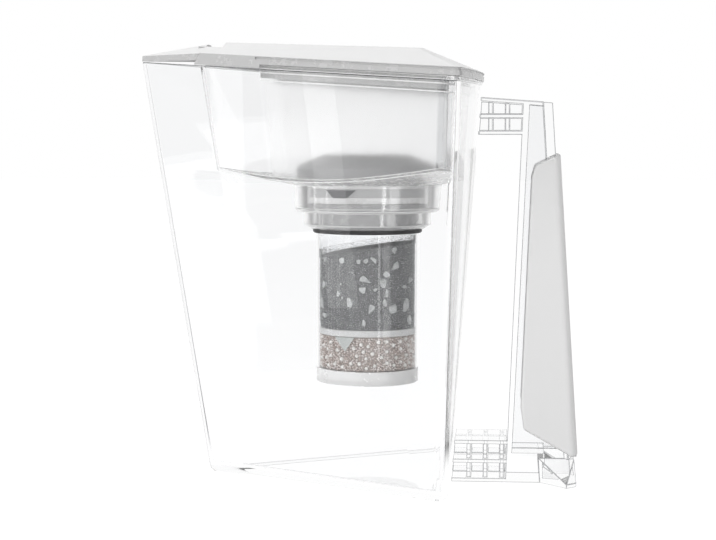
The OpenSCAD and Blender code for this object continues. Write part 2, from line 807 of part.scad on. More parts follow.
module hinge_boss(s) {
    translate([hinge_u, s * (slot_half + boss_end) / 2, hinge_w]) rotate([90, 0, 0])
        cylinder(r = knuckle_r, h = boss_end - slot_half, center = true, $fn = round_fn);
    translate([hinge_u - knuckle_r, s > 0 ? slot_half : -boss_end, hinge_w])
        cube([2 * knuckle_r, boss_end - slot_half, lid_top_front]);
}

module pin_hole(r, length) {
    translate([hinge_u, 0, hinge_w]) rotate([90, 0, 0])
        cylinder(r = r, h = length, center = true, $fn = round_fn);
}

// The room that the hopper's flange takes under the lid
module flange_room() {
    u0 = shoulder_u - flange_lead - run_gap;
    difference() {
        on_rim() translate([u0, -far / 2, -skirt_depth - 1])
            cube([far, far, flange_t + seat_gap + skirt_depth + 1]);
        hopper_form(hopper_wall + skirt_gap);
    }
}

module main_lid() {
    color("white", 0.85)
        difference() {
            union() {
                on_rim() difference() {
                    lid_form(0, seat_gap);
                    lid_form(lid_wall, seat_gap - lid_wall);
                }
                intersection() {
                    on_rim() lid_form(thin, -skirt_depth);
                    union() {
                        skirt();
                        on_rim() for (s = [-1, 1])
                            hinge_boss(s);
                    }
                }
            }
            flange_room();
            on_rim() {
                flap_zone(run_gap);
                translate([-far, -slot_half, -far / 2]) cube([far + slot_u, 2 * slot_half, far]);
                pin_hole(pin_r, 2 * (slot_half + pin_seat));
                lid_groove();
            }
        }
}

// ---- Spout flap ----

module flap_form(t) {
    r = lid_corner_r - t;
    back = flap_u + flap_rake + 2;
    low = seat_gap - t;
    hull() {
        lid_spot(lid_corner_r - lid_overhang / 2, 0, r, low, flap_tip_h - t);
        for (s = [-1, 1]) {
            lid_spot(back, s * (rim_side(back) + lid_overhang - lid_corner_r), r, low, lid_edge_h - t);
            lid_spot(back, s * (crown_half - lid_top_r), lid_top_r - t, flap_crown_h - t - thin,
                flap_crown_h - t);
        }
    }
}

// What the flap's lower edge leaves open above the rim, more towards its back
module pour_slot() {
    side_plate([[-far, -far], [far, -far], [far, seat_gap + flap_lift * far / flap_u], [0, seat_gap],
        [-far, seat_gap]], far);
}

module spout_flap() {
    tongue_t = knuckle_r - 0.2;
    color("white", 0.85)
        on_rim() difference() {
            union() {
                intersection() {
                    difference() {
                        flap_form(0);
                        flap_form(lid_wall);
                    }
                    difference() {
                        flap_zone(0);
                        pour_slot();
                    }
                }
                rotate([90, 0, 0]) linear_extrude(height = tongue_w, center = true) {
                    translate([flap_u + 1, hinge_w]) square([hinge_u - flap_u - 1, tongue_t]);
                    translate([hinge_u, hinge_w]) circle(r = knuckle_r, $fn = round_fn);
                }
            }
            pin_hole(pin_r + pin_gap, tongue_w + 2);
        }
}

module hinge_pin() {
    color("silver") on_rim() pin_hole(pin_r, 2 * (slot_half + pin_seat));
}

jug_body();
handle_frame();
handle_grip();
hopper();
filter_socket();
main_lid();
spout_flap();
hinge_pin();
cartridge_shell();
cartridge_head();
cartridge_seal();
inlet_screen();
foam_pad();
carbon_bed();
mineral_chips();
separator_felt();
resin_bed();
outlet_felt();
outlet_screen();
end_cap();
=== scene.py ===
# %% [markdown]
# # A water filter pitcher with a flip lid
# The jug is a clear wedge with a pouring corner. A frosted hopper hangs inside it and holds the
# filter cartridge. The imported solids give every place and size, so the first step loads them.

# %% Load the solids
import json
import math
import random
import bmesh
import bpy
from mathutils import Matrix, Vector


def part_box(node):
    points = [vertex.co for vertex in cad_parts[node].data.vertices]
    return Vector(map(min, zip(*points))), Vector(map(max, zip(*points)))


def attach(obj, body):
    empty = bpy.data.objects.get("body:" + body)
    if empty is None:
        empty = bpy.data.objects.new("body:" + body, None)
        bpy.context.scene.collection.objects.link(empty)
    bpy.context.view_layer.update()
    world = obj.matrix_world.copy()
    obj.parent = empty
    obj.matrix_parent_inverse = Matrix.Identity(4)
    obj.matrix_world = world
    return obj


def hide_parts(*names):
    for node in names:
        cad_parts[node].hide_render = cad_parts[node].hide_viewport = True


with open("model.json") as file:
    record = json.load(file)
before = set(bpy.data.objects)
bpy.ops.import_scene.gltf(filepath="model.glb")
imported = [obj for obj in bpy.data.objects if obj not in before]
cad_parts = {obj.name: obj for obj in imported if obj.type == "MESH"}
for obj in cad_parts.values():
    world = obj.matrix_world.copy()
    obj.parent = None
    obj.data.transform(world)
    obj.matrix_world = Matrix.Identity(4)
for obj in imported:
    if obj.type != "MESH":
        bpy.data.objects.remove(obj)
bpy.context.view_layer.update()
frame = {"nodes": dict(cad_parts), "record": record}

NODES = frame["nodes"]
BODY_OF = {node: body
           for body, nodes in frame["record"]["behaviour"]["bodies"].items() for node in nodes}
MM = 0.001
print("solids:", len(NODES), "bodies:", sorted(set(BODY_OF.values())))

# %% [markdown]
# ## Camera
# A small product is shot from about a metre away with a long lens, so that its upright edges stay
# nearly parallel. The camera looks down by a few degrees, aimed at the middle of the jug.

# %% Place the camera
AIM = Vector((-0.00075, 0.0, 0.1265))
AZIMUTH, ELEVATION, DISTANCE = math.radians(4.8), math.radians(4.59), 1.1067
SENSOR, FOCAL, FRAME_WIDTH = 36.0, 1800, 716  # the focal length and the width are in pixels
toward_camera = Vector((math.sin(AZIMUTH) * math.cos(ELEVATION),
                        -math.cos(AZIMUTH) * math.cos(ELEVATION), math.sin(ELEVATION)))
camera_data = bpy.data.cameras.new("camera")
camera_data.sensor_width = SENSOR
camera_data.lens = SENSOR * FOCAL / FRAME_WIDTH
camera_data.clip_start = 0.05
camera = bpy.data.objects.new("camera", camera_data)
camera.location = AIM + DISTANCE * toward_camera
camera.rotation_euler = (-toward_camera).to_track_quat("-Z", "Y").to_euler()
bpy.context.scene.collection.objects.link(camera)
bpy.context.scene.camera = camera
print("camera at", [round(c, 4) for c in camera.location], "lens", round(camera_data.lens, 2))

# %% [markdown]
# ## The studio
# Clear plastic is lit from behind, by a wide white sweep. A flat wall is seen straight through and
# stays white, but a rounded edge bends the view aside, past the sweep into the dim room, and draws
# a thin dark line. So rays that show a thing meet white behind the object and grey to its sides.
# Rays that only light a matt surface meet an even grey, because the lamps add the rest.

# %% Write short ways to wire nodes
def socket(tree, name, kind, direction, value=None):
    made = tree.interface.new_socket(name=name, in_out=direction, socket_type=kind)
    if value is not None:
        made.default_value = value
    return made

def add(tree, kind, settings=None, values=None, **inputs):
    """A node with its settings, its plain values, and links from sockets by input name."""
    made = tree.nodes.new(kind)
    for name, value in (settings or {}).items():
        setattr(made, name, value)
    for name, value in (values or {}).items():
        made.inputs[name].default_value = value
    for name, source in inputs.items():
        tree.links.new(source, made.inputs[name.replace("_", " ")])
    return made

def maths(tree, operation, *terms):
    """The result of a Math node whose terms are numbers or sockets."""
    made = add(tree, "ShaderNodeMath", {"operation": operation})
    for place, term in enumerate(terms):
        if isinstance(term, (int, float)):
            made.inputs[place].default_value = term
        else:
            tree.links.new(term, made.inputs[place])
    return made.outputs[0]

def emptied(owner):
    """The node tree of a material or world, switched on and cleared."""
    owner.use_nodes = True
    owner.node_tree.nodes.clear()
    return owner.node_tree

# %% Say how bright the studio is in each direction
ROOM, FRONT, MATT_LIGHT = 0.15, 0.8, 0.55
SWEEP_EDGE, SWEEP_FULL = 0.3, 0.72  # cosines of the angle from straight behind the object
FRONT_EDGE, FRONT_FULL = -0.5, -0.9

def sweep_glow(tree, direction):
    """White behind the object, grey to its sides, and fairly bright behind the camera."""
    ahead = add(tree, "ShaderNodeVectorMath", {"operation": "NORMALIZE"})
    tree.links.new(direction, ahead.inputs[0])
    facing = add(tree, "ShaderNodeVectorMath", {"operation": "DOT_PRODUCT"})
    tree.links.new(ahead.outputs[0], facing.inputs[0])
    facing.inputs[1].default_value = -toward_camera
    back = add(tree, "ShaderNodeMapRange", {"interpolation_type": "SMOOTHSTEP"}, {
        "From Min": SWEEP_EDGE, "From Max": SWEEP_FULL, "To Min": ROOM, "To Max": 1.0},
        Value=facing.outputs["Value"])
    front = add(tree, "ShaderNodeMapRange", {"interpolation_type": "SMOOTHSTEP"}, {
        "From Min": FRONT_EDGE, "From Max": FRONT_FULL, "To Min": ROOM, "To Max": FRONT},
        Value=facing.outputs["Value"])
    return maths(tree, "MAXIMUM", back.outputs["Result"], front.outputs["Result"])

def seen_rays(tree):
    """1 for rays that show a thing, and 0 for rays that only light matt surfaces."""
    path = add(tree, "ShaderNodeLightPath")
    glossy = maths(tree, "MAXIMUM", path.outputs["Is Glossy Ray"],
                   path.outputs["Is Transmission Ray"])
    return maths(tree, "MAXIMUM", glossy, path.outputs["Is Camera Ray"])

def only_camera(tree, glow):
    """The glow, but plain white where the camera looks straight at it."""
    path = add(tree, "ShaderNodeLightPath")
    return maths(tree, "MAXIMUM", glow, path.outputs["Is Camera Ray"])

# %% Make the world
world = bpy.data.worlds.new("studio")
bpy.context.scene.world = world
tree = emptied(world)
direction = add(tree, "ShaderNodeTexCoord").outputs["Generated"]
dim = add(tree, "ShaderNodeBackground", values={"Color": (1, 1, 1, 1), "Strength": MATT_LIGHT})
shown = add(tree, "ShaderNodeBackground", values={"Color": (1, 1, 1, 1)},
            Strength=only_camera(tree, sweep_glow(tree, direction)))
mix = add(tree, "ShaderNodeMixShader", Fac=seen_rays(tree))
tree.links.new(dim.outputs[0], mix.inputs[1])
tree.links.new(shown.outputs[0], mix.inputs[2])
add(tree, "ShaderNodeOutputWorld", Surface=mix.outputs[0])
bpy.context.scene.view_settings.view_transform = "Standard"
cycles = bpy.context.scene.cycles
cycles.max_bounces, cycles.transmission_bounces, cycles.glossy_bounces = 24, 24, 12
cycles.transparent_max_bounces = 32

# %% Lay the floor
FLOOR_HALF, NEAR_FLOOR = 6.0, 0.12
FLOOR_GLOW, GLOW_SHARE = 1.12, 0.85
floor_mesh = bpy.data.meshes.new("floor")
floor_mesh.from_pydata([(-FLOOR_HALF, -FLOOR_HALF, 0), (FLOOR_HALF, -FLOOR_HALF, 0),
                        (FLOOR_HALF, FLOOR_HALF, 0), (-FLOOR_HALF, FLOOR_HALF, 0)], [],
                        [(0, 1, 2, 3)])
floor = bpy.data.objects.new("floor", floor_mesh)
floor.location.z = -0.0002
bpy.context.scene.collection.objects.link(floor)
floor_material = bpy.data.materials.new("floor_white")
tree = emptied(floor_material)
spot = add(tree, "ShaderNodeTexCoord").outputs["Object"]
away = add(tree, "ShaderNodeVectorMath", {"operation": "LENGTH"})
tree.links.new(spot, away.inputs[0])
near = add(tree, "ShaderNodeMapRange", {"interpolation_type": "SMOOTHSTEP"}, {
    "From Min": NEAR_FLOOR, "From Max": 2 * NEAR_FLOOR, "To Min": 1.0, "To Max": 0.0},
    Value=away.outputs["Value"])
glow = only_camera(tree, maths(tree, "MAXIMUM", sweep_glow(tree, spot), near.outputs["Result"]))
light = add(tree, "ShaderNodeEmission", Strength=maths(tree, "MULTIPLY", glow, FLOOR_GLOW))
matt = add(tree, "ShaderNodeBsdfDiffuse", values={"Color": (0.85, 0.85, 0.85, 1)})
mix = add(tree, "ShaderNodeMixShader", Fac=maths(tree, "MULTIPLY", seen_rays(tree), GLOW_SHARE))
tree.links.new(matt.outputs[0], mix.inputs[1])
tree.links.new(light.outputs[0], mix.inputs[2])
add(tree, "ShaderNodeOutputMaterial", Surface=mix.outputs[0])
floor_mesh.materials.append(floor_material)

# %% [markdown]
# ## Lamps
# Three large soft lamps, from the left, the front and above, shape the matt pieces. Round clear
# plastic shows each narrow lamp as an upright streak, twice as far round as the lamp's own angle,
# so the tube's streaks say where the strip lamps stand. They hang low and near, to run the tube's
# full height.

# %% Hang the lamps
TUBE_AXIS = Vector((0.00575, 0.0, 0.0))

def lamp(name, place, size, power, aim=AIM, mirrored=True):
    data = bpy.data.lights.new(name, "AREA")
    data.shape = "RECTANGLE"
    data.size, data.size_y = size
    data.energy = power
    item = bpy.data.objects.new(name, data)
    item.location = place
    item.rotation_euler = (Vector(aim) - Vector(place)).to_track_quat("-Z", "Y").to_euler()
    item.visible_camera = False
    item.visible_glossy = mirrored
    bpy.context.scene.collection.objects.link(item)
    return item

def strip(name, turn, width, glow, reach=0.62, low=-0.02, high=0.28):
    """An upright strip lamp around the tube, turned from the camera's side towards the handle."""
    angle = math.radians(turn - 90) + AZIMUTH
    middle = TUBE_AXIS + Vector((reach * math.cos(angle), reach * math.sin(angle),
                                 (low + high) / 2))
    size = (width, high - low)
    item = lamp(name, middle, size, glow * math.pi * size[0] * size[1],
                aim=TUBE_AXIS + Vector((0, 0, (low + high) / 2)))
    item.visible_diffuse = False
    return item

lamp("soft_left", (-1.1, -0.9, 0.8), (0.8, 0.8), 9.5, mirrored=False)
lamp("soft_front", (0.1, -1.7, 0.35), (0.8, 0.8), 3.0, mirrored=False)
lamp("soft_top", (0.1, 0.1, 1.5), (1.2, 1.2), 6.0, mirrored=False)
strip("strip_thin", 24, 0.06, 5.0)
strip("strip_wide", 41, 0.18, 2.6)
strip("strip_left_near", -64, 0.03, 3.0)
strip("strip_left_far", -87, 0.03, 3.0)

# %% [markdown]
# ## Moulded plastic
# Every plastic piece here came out of a polished or matted steel mould. Polished plastic still has
# faint slow waves, and all of it carries fine scuffs from use. One node group makes both: a height
# for a Bump node and a mask that roughens the shine. Each material sets its own amounts.

# %% Build the moulded surface group
moulded = bpy.data.node_groups.new("Moulded Surface", "ShaderNodeTree")
for name, value in (("Wave Scale", 30.0), ("Wave Amount", 0.5), ("Grain Scale", 1500.0),
                    ("Grain Amount", 0.2), ("Scuff Scale", 90.0), ("Base Roughness", 0.1),
                    ("Scuff Roughness", 0.2)):
    socket(moulded, name, "NodeSocketFloat", "INPUT", value)
socket(moulded, "Height", "NodeSocketFloat", "OUTPUT")
socket(moulded, "Roughness", "NodeSocketFloat", "OUTPUT")
given = add(moulded, "NodeGroupInput").outputs
place = add(moulded, "ShaderNodeTexCoord").outputs["Object"]
waves = add(moulded, "ShaderNodeTexNoise", values={"Detail": 1.0}, Vector=place,
            Scale=given["Wave Scale"])
grain = add(moulded, "ShaderNodeTexNoise", values={"Detail": 2.0}, Vector=place,
            Scale=given["Grain Scale"])
scuffs = add(moulded, "ShaderNodeTexNoise", values={"Detail": 8.0, "Roughness": 0.75},
             Vector=place, Scale=given["Scuff Scale"])
slow = maths(moulded, "MULTIPLY", waves.outputs["Fac"], given["Wave Amount"])
height = maths(moulded, "MULTIPLY_ADD", grain.outputs["Fac"], given["Grain Amount"], slow)
worn = add(moulded, "ShaderNodeMapRange", values={"From Min": 0.48, "From Max": 0.72},
           Value=scuffs.outputs["Fac"], To_Min=given["Base Roughness"],
           To_Max=given["Scuff Roughness"])
add(moulded, "NodeGroupOutput", Height=height, Roughness=worn.outputs["Result"])
print("group:", moulded.name, [s.name for s in moulded.interface.items_tree])

# %% [markdown]
# ## A plastic material from the group
# All the plastics differ in a few numbers only, so one function makes them. Clear ones let the
# lamps through: a shadow ray meets a Transparent shader, or the inside would be dark. Light that is
# caught in the thickness of a wall would need hundreds of bounces to run down it and out at an
# edge, so after one reflection the wall lets it go. The grey line along a clear edge is painted
# shade: an edge material with a grey tint, on the narrow faces of the rounding alone, stands in
# for the dim room seen through the edge.

# %% Write the plastic maker
GLASSY = 0.7  # a wall clearer than this lets its own reflections go

def through(tree, flag, body, tint):
    """The shader body, opened for the rays that a Light Path flag names."""
    path = add(tree, "ShaderNodeLightPath")
    way = add(tree, "ShaderNodeBsdfTransparent", values={"Color": (tint, tint, tint, 1)})
    mixed = add(tree, "ShaderNodeMixShader")
    tree.links.new(path.outputs[flag], mixed.inputs["Fac"])
    tree.links.new(body.outputs[0], mixed.inputs[1])
    tree.links.new(way.outputs[0], mixed.inputs[2])
    return mixed

def plastic(name, colour, clear=0.0, roughness=(0.1, 0.2), waves=(30.0, 0.3), grain=(1500.0, 0.1),
            bump=0.00003, ior=1.49, lets_light=0.0, gloss=0.5):
    material = bpy.data.materials.new(name)
    tree = emptied(material)
    surface = add(tree, "ShaderNodeGroup", {"node_tree": moulded}, {
        "Wave Scale": waves[0], "Wave Amount": waves[1], "Grain Scale": grain[0],
        "Grain Amount": grain[1], "Base Roughness": roughness[0], "Scuff Roughness": roughness[1]})
    relief = add(tree, "ShaderNodeBump", values={"Distance": bump},
                 Height=surface.outputs["Height"])
    last = add(tree, "ShaderNodeBsdfPrincipled", None, {
        "Base Color": (*colour, 1), "IOR": ior, "Transmission Weight": clear,
        "Specular IOR Level": gloss}, Normal=relief.outputs["Normal"],
        Roughness=surface.outputs["Roughness"])
    if clear > GLASSY:
        last = through(tree, "Is Reflection Ray", last, 1.0)
    if lets_light > 0:
        last = through(tree, "Is Shadow Ray", last, lets_light)
    add(tree, "ShaderNodeOutputMaterial", Surface=last.outputs[0])
    return material

# %% Make the clear plastics
CLEAR = dict(clear=1.0, roughness=(0.0, 0.02), grain=(900.0, 0.01), bump=0.00004, lets_light=0.98)
clear_jug = plastic("clear_jug_plastic", (0.985, 0.987, 0.99), waves=(22.0, 0.3), ior=1.3, **CLEAR)
# The jug's edge tint is painted shade: the dark line along its rounded edges.
jug_edge_painted_shade = plastic("clear_jug_edge_painted_shade_plastic", (0.25, 0.255, 0.26), waves=(22.0, 0.3), ior=1.3,
                   **CLEAR)
clear_frame = plastic("clear_frame_plastic", (0.97, 0.972, 0.975), waves=(40.0, 0.4), ior=1.35,
                      **CLEAR)
# The frame's edge tint is painted shade: the dark line along its rounded edges.
frame_edge_painted_shade = plastic("clear_frame_edge_painted_shade_plastic", (0.24, 0.244, 0.25), waves=(40.0, 0.4), ior=1.35,
                     **CLEAR)
clear_tube = plastic("clear_tube_plastic", (0.96, 0.965, 0.97), waves=(30.0, 0.04), ior=1.28,
                     **CLEAR)
# The tube's edge tint is a light painted shade along its rounded edges.
tube_edge_painted_shade = plastic("clear_tube_edge_painted_shade_plastic", (0.8, 0.81, 0.82), waves=(30.0, 0.04), ior=1.28,
                    **CLEAR)

# %% Make the milky and matt plastics
FINE = dict(grain=(2500.0, 0.2), bump=0.00002)
frosted_hopper = plastic("frosted_hopper_plastic", (0.995, 0.995, 0.995), clear=0.94,
                         roughness=(0.2, 0.26), ior=1.25, lets_light=0.95, **FINE)
hopper_edge = plastic("frosted_hopper_edge_plastic", (0.99, 0.99, 0.99), clear=0.0,
                      roughness=(0.12, 0.18), ior=1.4, lets_light=0.95, **FINE)
# A grey copy of the frosted hopper: painted shade for the dark line at its back corner.
hopper_corner_painted_shade = plastic("frosted_hopper_corner_painted_shade_plastic", (0.78, 0.785, 0.79), clear=0.94,
                        roughness=(0.09, 0.14), ior=1.25, lets_light=0.95, **FINE)
polished_wall = plastic("polished_hopper_plastic", (0.995, 0.995, 0.995), waves=(22.0, 0.1),
                        ior=1.2, **CLEAR)
frosted_floor = plastic("frosted_floor_plastic", (0.96, 0.96, 0.96), clear=0.5,
                        roughness=(0.25, 0.35), ior=1.4, lets_light=0.9, **FINE)
milky_socket = plastic("milky_socket_plastic", (0.99, 0.99, 0.99), clear=0.86,
                       roughness=(0.08, 0.14), lets_light=0.85, **FINE)
socket_edge = plastic("milky_socket_edge_plastic", (0.99, 0.99, 0.99), clear=0.5,
                      roughness=(0.08, 0.14), lets_light=0.85, **FINE)
milky_lid = plastic("milky_lid_plastic", (0.79, 0.79, 0.79), clear=0.04, roughness=(0.3, 0.42),
                    grain=(2500.0, 0.5), bump=0.00002)
# A darker copy of the lid plastic: painted shade on the upright sides, which face the dimmer room.
lid_side_painted_shade = plastic("milky_lid_side_painted_shade_plastic", (0.56, 0.56, 0.56), clear=0.1, roughness=(0.25, 0.35),
                   grain=(2500.0, 0.5), bump=0.00002)
soft_grip = plastic("soft_grip_rubber", (0.8, 0.8, 0.8), roughness=(0.5, 0.62),
                    waves=(12.0, 0.2), grain=(3500.0, 0.9), bump=0.00002)
white_pin = plastic("white_pin_plastic", (0.8, 0.8, 0.8), roughness=(0.3, 0.4))
dark_head = plastic("dark_head_plastic", (0.35, 0.35, 0.355), roughness=(0.35, 0.5),
                    grain=(3000.0, 0.8), bump=0.00002)
black_seal = plastic("black_seal_rubber", (0.015, 0.015, 0.015), roughness=(0.45, 0.6),
                     grain=(3000.0, 0.5), bump=0.00002)
# The clear tube is this dark grey towards its top.
grey_tube_top = plastic("grey_tube_top_plastic", (0.26, 0.26, 0.265), clear=0.2, roughness=(0.25, 0.35),
                      bump=0.00002, lets_light=0.3)
milky_neck = plastic("milky_neck_plastic", (0.85, 0.85, 0.85), clear=0.1, roughness=(0.25, 0.35),
                     bump=0.00002, lets_light=0.3)
frosted_cap = plastic("frosted_cap_plastic", (0.97, 0.97, 0.97), clear=0.3, roughness=(0.22, 0.34),
                      grain=(2500.0, 0.3), bump=0.00002, lets_light=0.8)
print("plastics:", [m.name for m in bpy.data.materials if "plastic" in m.name])

# %% [markdown]
# ## Dressing a solid
# The solids come as loose triangles. A copy of each is merged, its flat faces are joined again, its
# sharp edges get the small rounding that any moulded edge has, and its curved faces are smoothed.
# The rounding can take a material of its own, whose grey tint is the painted shade along a clear
# edge.

# %% Write the dressing helper
def frozen(piece):
    """Turn what the modifiers make into the piece's own mesh."""
    ready = piece.evaluated_get(bpy.context.evaluated_depsgraph_get())
    mesh = bpy.data.meshes.new_from_object(ready)
    piece.modifiers.clear()
    piece.data = mesh
    return piece

def carried(piece, node, replaces=True):
    """Tie a piece to its node's body, and hide the node when the piece replaces it."""
    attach(piece, BODY_OF[node])
    if replaces:
        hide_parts(node)
    print(f"{piece.name}: {len(piece.data.polygons)} faces")
    return piece

def merged(node):
    """A node's mesh as a bmesh, with its loose triangles joined into whole faces."""
    shape = bmesh.new()
    shape.from_mesh(NODES[node].data)
    bmesh.ops.remove_doubles(shape, verts=shape.verts, dist=5e-5)
    bmesh.ops.dissolve_degenerate(shape, edges=shape.edges, dist=5e-5)
    bmesh.ops.dissolve_limit(shape, angle_limit=math.radians(0.3), verts=shape.verts,
                             edges=shape.edges)
    return shape

def placed(name, shape, *materials):
    """A new object from a bmesh, with its materials."""
    mesh = bpy.data.meshes.new(name)
    shape.to_mesh(mesh)
    shape.free()
    for material in materials:
        mesh.materials.append(material)
    piece = bpy.data.objects.new(name, mesh)
    bpy.context.scene.collection.objects.link(piece)
    return piece

def rounded(piece, width, steps=2, corner=32, edge_slot=-1):
    edge = piece.modifiers.new("edge rounding", "BEVEL")
    edge.width = width * MM
    edge.segments = steps
    edge.limit_method = "ANGLE"
    edge.angle_limit = math.radians(corner)
    edge.use_clamp_overlap = False
    edge.material = edge_slot
    return frozen(piece)

def smoothed(piece, corner=32):
    """Smooth curved faces. Large flat ones keep their shading, or clear walls bend the view."""
    piece.data.polygons.foreach_set("use_smooth", [True] * len(piece.data.polygons))
    piece.data.set_sharp_from_angle(angle=math.radians(corner))
    flat = piece.modifiers.new("flat faces stay flat", "WEIGHTED_NORMAL")
    flat.weight = 100
    flat.keep_sharp = True
    return frozen(piece)

def middle(face):
    """A face's middle, in mm."""
    return face.calc_center_median() / MM

def upright(face):
    return abs(face.normal.z) < 0.5

def narrow(face, width=3.0):
    """Whether a face is a strip, as the faces of a rounded corner are."""
    return face.calc_area() < width * MM * max(edge.calc_length() for edge in face.edges)

def dressed(node, name, material, rounding=0.3, steps=2, edge=None, zones=(), cut=()):
    """Dress a node. A zone is one more material and a test of the faces that take it."""
    shape = merged(node)
    for height in cut:
        bmesh.ops.bisect_plane(shape, geom=shape.verts[:] + shape.edges[:] + shape.faces[:],
                               plane_co=(0, 0, height * MM), plane_no=(0, 0, 1))
    materials = [material, edge or material]
    for zone_material, takes in zones:
        for face in shape.faces:
            if takes(face):
                face.material_index = len(materials)
        materials.append(zone_material)
    piece = placed(name, shape, *materials)
    rounded(piece, rounding, steps, edge_slot=1 if edge else -1)
    return carried(smoothed(piece), node)

# %% Dress the jug, handle and hopper
# The rounding of the jug and of the frame takes the grey painted edge shade.
dressed("jug_body", "clear_jug", clear_jug, rounding=0.5, edge=jug_edge_painted_shade)
dressed("handle_frame", "handle_ribbed_frame", clear_frame, rounding=0.45, edge=frame_edge_painted_shade)
dressed("handle_grip", "handle_soft_grip", soft_grip, rounding=1.6, steps=4)
dressed("hopper", "inner_hopper", frosted_hopper, rounding=0.36, edge=hopper_edge,
        zones=[(frosted_floor, lambda face: not upright(face) and middle(face).z < 200),
               (polished_wall, lambda face: upright(face) and middle(face).x < -50),
               # The narrow faces of the rounded back corner take the grey painted shade.
               (hopper_corner_painted_shade,
                lambda face: upright(face) and narrow(face) and middle(face).x > 50)])
dressed("filter_socket", "hopper_filter_socket", milky_socket, rounding=0.5, edge=socket_edge)

# %% Dress the lid
# The upright faces of the lid and the flap take the darker painted-shade copy.
dressed("main_lid", "lift_off_lid", milky_lid, rounding=0.15, zones=[(lid_side_painted_shade, upright)])
dressed("spout_flap", "spout_flip_flap", milky_lid, rounding=0.15, zones=[(lid_side_painted_shade, upright)])
dressed("hinge_pin", "flap_hinge_pin", white_pin, rounding=0.2)

# %% Dress the cartridge's own shells
# Heights in mm: where the tube turns dark grey towards its top, the dark band around the milky
# neck, and the underside of the dark head.
TUBE_GREY_FROM_Z, BAND_LOW, BAND_HIGH, HEAD_Z = 155.5, 172.5, 177.8, 183
# The tube's rounding takes its light painted edge shade.
dressed("cartridge_shell", "cartridge_tube", clear_tube, rounding=0.2, edge=tube_edge_painted_shade,
        zones=[(grey_tube_top, lambda face: middle(face).z > TUBE_GREY_FROM_Z)], cut=(TUBE_GREY_FROM_Z,))
dressed("cartridge_head", "cartridge_inlet_head", dark_head, rounding=0.4,
        zones=[(milky_neck, lambda face: (middle(face).z < BAND_LOW
                                          or BAND_HIGH < middle(face).z < HEAD_Z))],
        cut=(BAND_LOW, BAND_HIGH))
dressed("cartridge_seal", "cartridge_seal_ring", black_seal, rounding=1.2, steps=4)
dressed("end_cap", "cartridge_end_cap", frosted_cap, rounding=0.5, steps=3)

# %% [markdown]
# ## What fills the cartridge
# The tube holds, from the top: a strainer with its foam, carbon grains mixed with pale mineral
# chips, a felt, resin beads, and a felt on the outlet strainer. The grains and beads that touch
# the clear wall are real small meshes. Behind that first layer nothing can be seen, so a plain core
# stands in for the rest of the bed.

# %% Write the measures of the beds
AXIS_X = TUBE_AXIS.x
BED_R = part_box("resin_bed")[1][1]

def level(node, end):
    """The height of a node's bottom (end 0) or top (end 1)."""
    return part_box(node)[end][2]

def around(radius, turn, height):
    """A point by its distance from the tube's axis, its angle and its height."""
    return Vector((AXIS_X + radius * math.cos(turn), radius * math.sin(turn), height))

def shell(radius, low, top_of, steps=96, capped=False):
    """The side of a round bed whose top may slope, and its top face if it is capped."""
    shape = bmesh.new()
    turns = [2 * math.pi * step / steps for step in range(steps)]
    below = [shape.verts.new(around(radius, turn, low)) for turn in turns]
    above = [shape.verts.new(around(radius, turn, top_of(AXIS_X + radius * math.cos(turn))))
             for turn in turns]
    for step in range(steps):
        after = (step + 1) % steps
        shape.faces.new((below[step], below[after], above[after], above[step]))
    if capped:
        shape.faces.new(above)
    return shape

def core(name, radius, low, top_of, material, node):
    """The closed body behind a bed's first layer."""
    shape = shell(radius, low, top_of, capped=True)
    holes = [edge for edge in shape.edges if edge.is_boundary]
    bmesh.ops.contextual_create(shape, geom=holes)
    bmesh.ops.recalc_face_normals(shape, faces=shape.faces)
    return carried(smoothed(placed(name, shape, material)), node)

print("bed radius", round(BED_R / MM, 2), "mm")

# %% [markdown]
# ## Grains and beads with Geometry Nodes
# The same few dozen faces are repeated thousands of times. The tree spreads points over a shell no
# closer than a grain's spacing, drops the points that come too near to other pieces, and puts a
# randomly turned and sized grain on each. Every grain keeps a random shade for its material.

# %% Build the grain tree
def open_input(node, name, value=None):
    """The input in use of that name: a node with several data types has it once for each."""
    found = next(s for s in node.inputs if s.name == name and s.enabled)
    if value is not None:
        found.default_value = value
    return found

scatter = bpy.data.node_groups.new("Scatter Grains", "GeometryNodeTree")
socket(scatter, "Geometry", "NodeSocketGeometry", "OUTPUT")
socket(scatter, "Geometry", "NodeSocketGeometry", "INPUT")
for name, kind in (("Grain", "NodeSocketObject"), ("Keep Clear Of", "NodeSocketObject"),
                   ("Clearance", "NodeSocketFloat"), ("Spacing", "NodeSocketFloat"),
                   ("Smallest", "NodeSocketFloat"), ("Largest", "NodeSocketFloat"),
                   ("Seed", "NodeSocketInt"), ("Material", "NodeSocketMaterial")):
    socket(scatter, name, kind, "INPUT")
given = add(scatter, "NodeGroupInput").outputs
density = maths(scatter, "DIVIDE", 4.0,
                maths(scatter, "MULTIPLY", given["Spacing"], given["Spacing"]))
spread = add(scatter, "GeometryNodeDistributePointsOnFaces", {"distribute_method": "POISSON"})
scatter.links.new(given["Geometry"], spread.inputs["Mesh"])
scatter.links.new(given["Spacing"], open_input(spread, "Distance Min"))
scatter.links.new(density, open_input(spread, "Density Max"))
scatter.links.new(given["Seed"], spread.inputs["Seed"])
other = add(scatter, "GeometryNodeObjectInfo", {"transform_space": "RELATIVE"},
            Object=given["Keep Clear Of"])
nearest = add(scatter, "GeometryNodeProximity")
scatter.links.new(other.outputs["Geometry"], nearest.inputs[0])
too_near = add(scatter, "FunctionNodeCompare", {"data_type": "FLOAT", "operation": "LESS_THAN"})
scatter.links.new(nearest.outputs["Distance"], open_input(too_near, "A"))
scatter.links.new(given["Clearance"], open_input(too_near, "B"))
